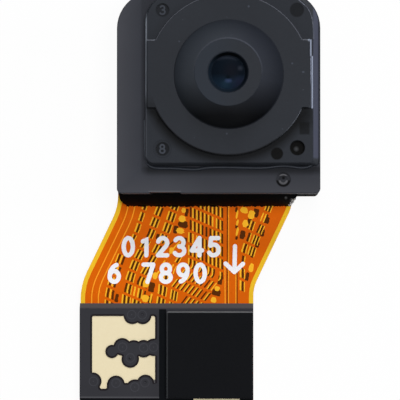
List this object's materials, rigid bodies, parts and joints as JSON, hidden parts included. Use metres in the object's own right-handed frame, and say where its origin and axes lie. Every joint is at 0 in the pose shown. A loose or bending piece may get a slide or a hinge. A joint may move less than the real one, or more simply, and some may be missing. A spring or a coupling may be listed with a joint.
{
  "type": "camera module",
  "caption": "Fixed-focus camera module: square black housing with a round winged lens barrel, an orange flexible circuit tail and a board-to-board connector end.",
  "frame": {"origin": "where the optical axis meets the back of the rear plate, on the surface the module lies on", "axes": "+Z looks out of the lens, the flexible circuit leaves towards -Y, and +X is to the right seen from the front with the tail pointing down"},
  "size_m": [0.0102, 0.0173, 0.0055],
  "materials": {
    "moulded_black": "fine matte mould texture",
    "holder_black": "fine matte mould texture",
    "barrel_black": "turned satin",
    "front_glass": "coated and polished",
    "lens_clear": "polished",
    "filter_glass": "polished, with a faint tint",
    "baffle_black": "dull",
    "ring_black": "dull",
    "polyimide_film": "satin orange film over copper tracks",
    "laminate": "dull solder resist",
    "rear_steel": "rolled",
    "silicon": "polished",
    "attach_film": "dull",
    "bond_gold": "drawn",
    "capacitor_ceramic": "dull",
    "chip_black": "ground",
    "seat_glue": "satin",
    "root_glue": "glossy with a few glints",
    "stiffener_plate": "dull",
    "gold_plating": "pale satin plating",
    "cover_film": "matte film",
    "cushion_foam": "fine closed cells",
    "plug_black": "moulded",
    "contact_gold": "plated",
    "hold_down_metal": "tinned"
  },
  "bodies": {
    "root": {"rear_plate": "rear_steel", "board_rear_layer": "laminate", "board_front_layer": "laminate", "flex_circuit": "polyimide_film", "die_attach_film": "attach_film", "image_sensor": "silicon", "bond_wires": "bond_gold", "capacitors": "capacitor_ceramic", "memory_chip": "chip_black", "infrared_filter": "filter_glass", "lens_holder": "holder_black", "housing_bracket": "moulded_black", "lens_barrel": "barrel_black", "front_lens": "front_glass", "first_baffle": "baffle_black", "second_lens": "lens_clear", "second_baffle": "baffle_black", "third_lens": "lens_clear", "spacer_ring": "ring_black", "fourth_lens": "lens_clear", "third_baffle": "baffle_black", "rear_lens": "lens_clear", "retaining_ring": "ring_black", "seating_adhesive": "seat_glue", "root_sealant": "root_glue", "end_stiffener": "stiffener_plate", "gold_pads": "gold_plating", "end_cover_film": "cover_film", "cushion_pad": "cushion_foam", "connector_housing": "plug_black", "connector_contacts": "contact_gold", "connector_hold_downs": "hold_down_metal"}
  },
  "joints": []
}
